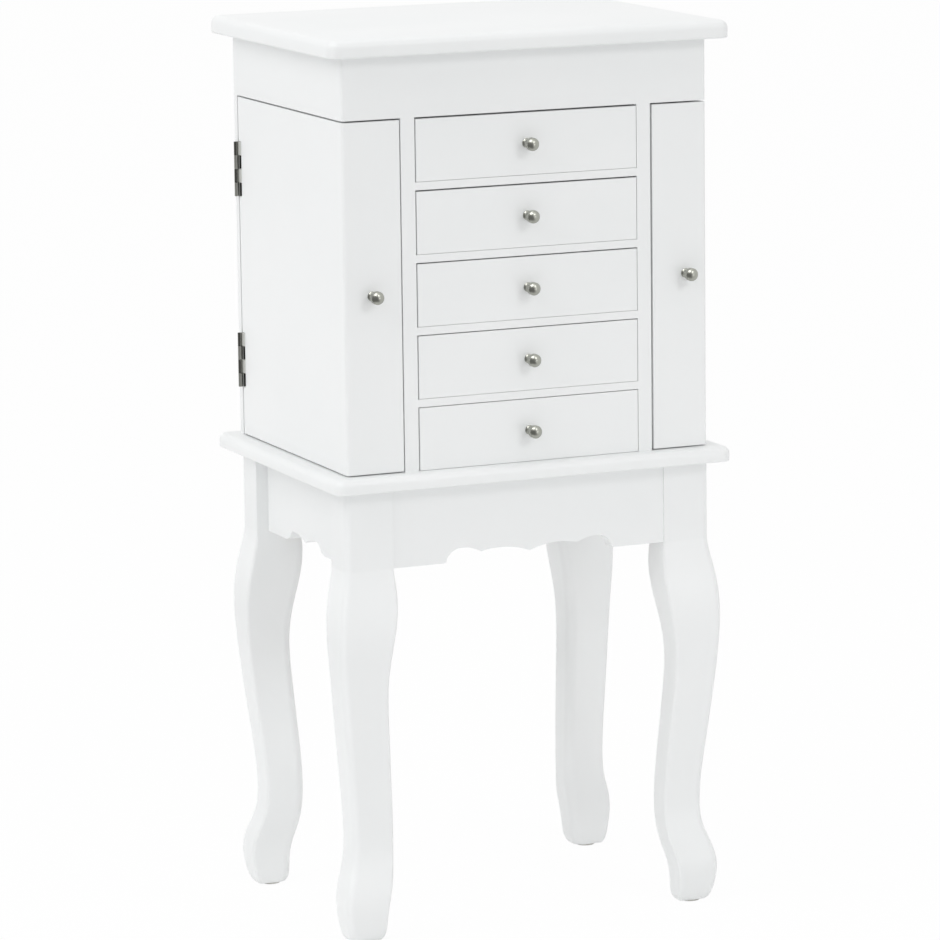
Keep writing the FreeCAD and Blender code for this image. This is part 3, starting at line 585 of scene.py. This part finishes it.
def makeHardware():
    look = screwLook
    thin = look["thinMm"] * mm
    plain = look["plainMm"] * mm
    rises = [rise * mm + step * look["apartMm"] * mm for rise in look["hingeRiseMm"] for step in (-1, 1)]
    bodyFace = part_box("back_panel")[0].y
    lidSpan = [side * look["lidMidMm"] * mm + step * look["apartMm"] * mm
               for side in (-1, 1) for step in (-1, 1)]
    for name, side in (("left", -1), ("right", 1)):
        door = "door_" + name
        across = side * look["leafMidMm"] * mm
        bodySpots = [Vector((across, bodyFace - look["bodyLeafMm"] * mm, z)) for z in rises]
        makeScrews("bodyScrews_" + name, bodySpots, (0, -1, 0), thin, "cabinet")
        doorSpots = [Vector((across, bodyFace - look["doorLeafMm"] * mm, z)) for z in rises]
        makeScrews("doorScrews_" + name, doorSpots, (0, 1, 0), thin, door)
        low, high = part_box(door + "_strike_plate")
        middle = (low + high) / 2
        strikeSpots = [Vector((middle.x, high.y, middle.z + step * look["strikeApartMm"] * mm))
                       for step in (-1, 1)]
        makeScrews("strikeScrews_" + name, strikeSpots, (0, 1, 0), plain, door)
    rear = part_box("back_panel")[1].y + look["lidLeafMm"] * mm
    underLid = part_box("lid_hinge_leaves")[1].z - look["lidLeafMm"] * mm
    rearSpots = [Vector((x, rear, look["lidBodyRiseMm"] * mm)) for x in lidSpan]
    makeScrews("lidBodyScrews", rearSpots, (0, 1, 0), plain, "cabinet")
    lidSpots = [Vector((x, look["lidBackMm"] * mm, underLid)) for x in lidSpan]
    makeScrews("lidScrews", lidSpots, (0, 0, -1), plain, "lid")


screwSteel = makeScrewSteel()
makeHardware()
print("screws made")

# Magnetic catches on the partitions: a rounded housing that holds a magnet between two steel pole plates
catchLook = {"roundMm": 1.4, "poleMm": (1.6, 2.0, 22.0), "poleProudMm": 0.12, "poleApartMm": 5.0,
             "poleEdgeMm": 0.1}


def makeCatches():
    look = catchLook
    low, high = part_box("catch_magnets")
    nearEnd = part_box("partition_right")[1].x
    span = high.x - nearEnd
    housing = roundedBlock(low, Vector((low.x + span, high.y, high.z)), look["roundMm"] * mm)
    other = bmesh.ops.duplicate(housing, geom=housing.verts[:] + housing.edges[:] + housing.faces[:])["geom"]
    moved = [part for part in other if isinstance(part, bmesh.types.BMVert)]
    bmesh.ops.translate(housing, vec=(nearEnd - low.x, 0, 0), verts=moved)
    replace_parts(newPiece("catchHousings", housing, "catch_plastic", "cabinet"), "catch_magnets")
    half = Vector(look["poleMm"]) * mm / 2
    for name, side in (("left", -1), ("right", 1)):
        for number, step in enumerate((-0.5, 0.5), 1):
            middle = Vector((side * (nearEnd + span / 2) + step * look["poleApartMm"] * mm,
                             low.y - look["poleProudMm"] * mm + half.y, (low.z + high.z) / 2))
            pole = roundedBlock(middle - half, middle + half, look["poleEdgeMm"] * mm, segments=2)
            newPiece("catchPole_%s_%d" % (name, number), pole, "bright_steel", "cabinet")


makeCatches()
print("catches made")

# Camera where the photograph was taken, a long lens from the left
cameraSetup = {"place": (-1.84277, -4.22809, 1.23097), "turnDeg": (79.7158, 0.7096, -23.6561),
               "lens": 197.17, "sensor": 36.0}
cameraData = bpy.data.cameras.new("camera")
cameraData.sensor_width = cameraSetup["sensor"]
cameraData.lens = cameraSetup["lens"]
camera = bpy.data.objects.new("camera", cameraData)
camera.location = cameraSetup["place"]
camera.rotation_euler = [math.radians(a) for a in cameraSetup["turnDeg"]]
scene.collection.objects.link(camera)
scene.camera = camera

# White studio: pale floor, even sky, a soft box on the left, a smaller key from the right front, narrow
# fills on the legs under both, and one box overhead
studio = {"sky": 0.625, "floorHex": "#F7F7F7", "floorLift": 0.97, "floorHalf": 30.0,
          "lamps": {"leftBox": {"from": (-0.76, -0.10, 0.63), "aim": (0, 0, 0.5), "far": 3.5, "size": 2.2,
                                "watt": 33, "spreadDeg": 180},
                    "frontKey": {"from": (0.27, -0.84, 0.53), "aim": (0, 0, 0.5), "far": 3.5, "size": 0.9,
                                 "watt": 14, "spreadDeg": 180},
                    "legFill": {"from": (0.42, -0.90, 0.06), "aim": (0, 0, 0.12), "far": 3.5, "size": 0.8,
                                "watt": 0.165, "spreadDeg": 24},
                    "leftFill": {"from": (-0.95, -0.25, 0.10), "aim": (0, 0, 0.12), "far": 3.5, "size": 0.8,
                                 "watt": 0.22, "spreadDeg": 24},
                    "topBox": {"from": (0.0, 0.0, 1.0), "aim": (0, 0, 0.5), "far": 3.2, "size": 2.0,
                               "watt": 11, "spreadDeg": 180}}}
# Dim sheet at the left front, which only the gloss of metal and lacquer picks up: a faintly glowing
# painted dark reflection that lights nothing and casts no shadow
darkReflectionSheet = {"level": 0.25, "leftX": -2.6, "frontY": -2.6, "rightX": 0.3, "rearY": 1.6, "height": 3.0,
           "matX": -0.5, "matY": -0.6, "matRise": 0.002}


def whiteSight(tree):
    # 1 for what the lens, a metal or a glass sees directly, 0 for what lights the object
    path = addNode(tree, "ShaderNodeLightPath")
    seen = addNode(tree, "ShaderNodeMath", {"operation": "ADD"},
                   {0: path.outputs["Is Camera Ray"], 1: path.outputs["Is Glossy Ray"]})
    return addNode(tree, "ShaderNodeMath", {"operation": "ADD", "use_clamp": True},
                   {0: seen.outputs["Value"], 1: path.outputs["Is Transmission Ray"]}).outputs["Value"]


def newProp(name, builder, material):
    mesh = bpy.data.meshes.new(name)
    builder.to_mesh(mesh)
    builder.free()
    mesh.materials.append(material)
    prop = bpy.data.objects.new(name, mesh)
    scene.collection.objects.link(prop)
    return prop


def makeFloor():
    builder = bmesh.new()
    bmesh.ops.create_grid(builder, x_segments=1, y_segments=1, size=studio["floorHalf"])
    material = bpy.data.materials.new("studioFloor")
    material.use_nodes = True
    tree = material.node_tree
    tree.nodes.clear()
    paper = addNode(tree, "ShaderNodeBsdfDiffuse", {}, {"Color": linearColour(studio["floorHex"])})
    glow = addNode(tree, "ShaderNodeEmission", {}, {"Strength": 1.0})
    lift = addNode(tree, "ShaderNodeMath", {"operation": "MULTIPLY"},
                   {0: whiteSight(tree), 1: studio["floorLift"]})
    mixed = addNode(tree, "ShaderNodeMixShader", {},
                    {0: lift.outputs["Value"], 1: paper.outputs["BSDF"], 2: glow.outputs["Emission"]})
    addNode(tree, "ShaderNodeOutputMaterial", {}, {"Surface": mixed.outputs["Shader"]})
    floor = newProp("floor", builder, material)


def makeSky():
    world = bpy.data.worlds.new("studio")
    world.use_nodes = True
    tree = world.node_tree
    tree.nodes.clear()
    level = addNode(tree, "ShaderNodeMapRange", {},
                    {"Value": whiteSight(tree), "To Min": studio["sky"], "To Max": 1.0})
    sky = addNode(tree, "ShaderNodeBackground", {},
                  {"Color": (1, 1, 1, 1), "Strength": level.outputs["Result"]})
    addNode(tree, "ShaderNodeOutputWorld", {}, {"Surface": sky.outputs["Background"]})
    scene.world = world


def makeLamp(name, look):
    lampData = bpy.data.lights.new(name, "AREA")
    lampData.size = look["size"]
    lampData.energy = look["watt"]
    lampData.spread = math.radians(look["spreadDeg"])
    lamp = bpy.data.objects.new(name, lampData)
    away = Vector(look["from"]).normalized()
    lamp.location = Vector(look["aim"]) + away * look["far"]
    lamp.rotation_euler = away.to_track_quat("Z", "Y").to_euler()
    scene.collection.objects.link(lamp)


def hideButForGloss(card):
    for ray in ("camera", "diffuse", "transmission", "volume_scatter", "shadow"):
        setattr(card, "visible_" + ray, False)


# Glow for the sheets seen only in reflection: painted reflections, not lamps
def makeReflectionGlow(name, level):
    material = bpy.data.materials.new(name)
    material.use_nodes = True
    material.node_tree.nodes.clear()
    glow = addNode(material.node_tree, "ShaderNodeEmission", {}, {"Strength": level})
    addNode(material.node_tree, "ShaderNodeOutputMaterial", {}, {"Surface": glow.outputs["Emission"]})
    return material


def makeDarkReflectionSheet():
    look = darkReflectionSheet
    builder = bmesh.new()
    plan = ((look["rightX"], look["frontY"]), (look["leftX"], look["frontY"]),
            (look["leftX"], look["rearY"]))
    foot = [builder.verts.new((x, y, 0)) for x, y in plan]
    edges = [builder.edges.new(pair) for pair in zip(foot, foot[1:])]
    grown = bmesh.ops.extrude_edge_only(builder, edges=edges)["geom"]
    risen = [part for part in grown if isinstance(part, bmesh.types.BMVert)]
    bmesh.ops.translate(builder, vec=(0, 0, look["height"]), verts=risen)
    inner = ((look["rightX"], look["matY"]), (look["matX"], look["matY"]), (look["matX"], look["rearY"]))
    near = [builder.verts.new((x, y, 0)) for x, y in inner]
    for i in (0, 1):
        builder.faces.new((foot[i], foot[i + 1], near[i + 1], near[i]))
    bmesh.ops.translate(builder, vec=(0, 0, look["matRise"]), verts=builder.verts)
    wall = newProp("darkReflectionSheet", builder, makeReflectionGlow("darkReflectionGlow", look["level"]))
    hideButForGloss(wall)


# Bright glowing card above the lens, seen only in gloss: a painted glint on the upper left of the knobs;
# it lights nothing and casts no shadow
glintCard = {"level": 8.0, "from": (-0.30, -0.61, 0.73), "far": 3.4, "aim": (0, -0.14, 0.58),
             "halfWide": 0.75, "halfHigh": 0.55}


def makeGlintCard():
    look = glintCard
    away = Vector(look["from"]).normalized()
    turn = away.to_track_quat("Z", "Y").to_matrix().to_4x4()
    place = Matrix.Translation(Vector(look["aim"]) + away * look["far"]) @ turn
    builder = bmesh.new()
    bmesh.ops.create_grid(builder, x_segments=1, y_segments=1, size=1.0,
                          matrix=place @ Matrix.Diagonal((look["halfWide"], look["halfHigh"], 1, 1)))
    card = newProp("glintCard", builder, makeReflectionGlow("glintReflectionGlow", look["level"]))
    hideButForGloss(card)


makeFloor()
makeSky()
makeDarkReflectionSheet()
makeGlintCard()
for lampName, lampLook in studio["lamps"].items():
    makeLamp(lampName, lampLook)
print("studio lit")
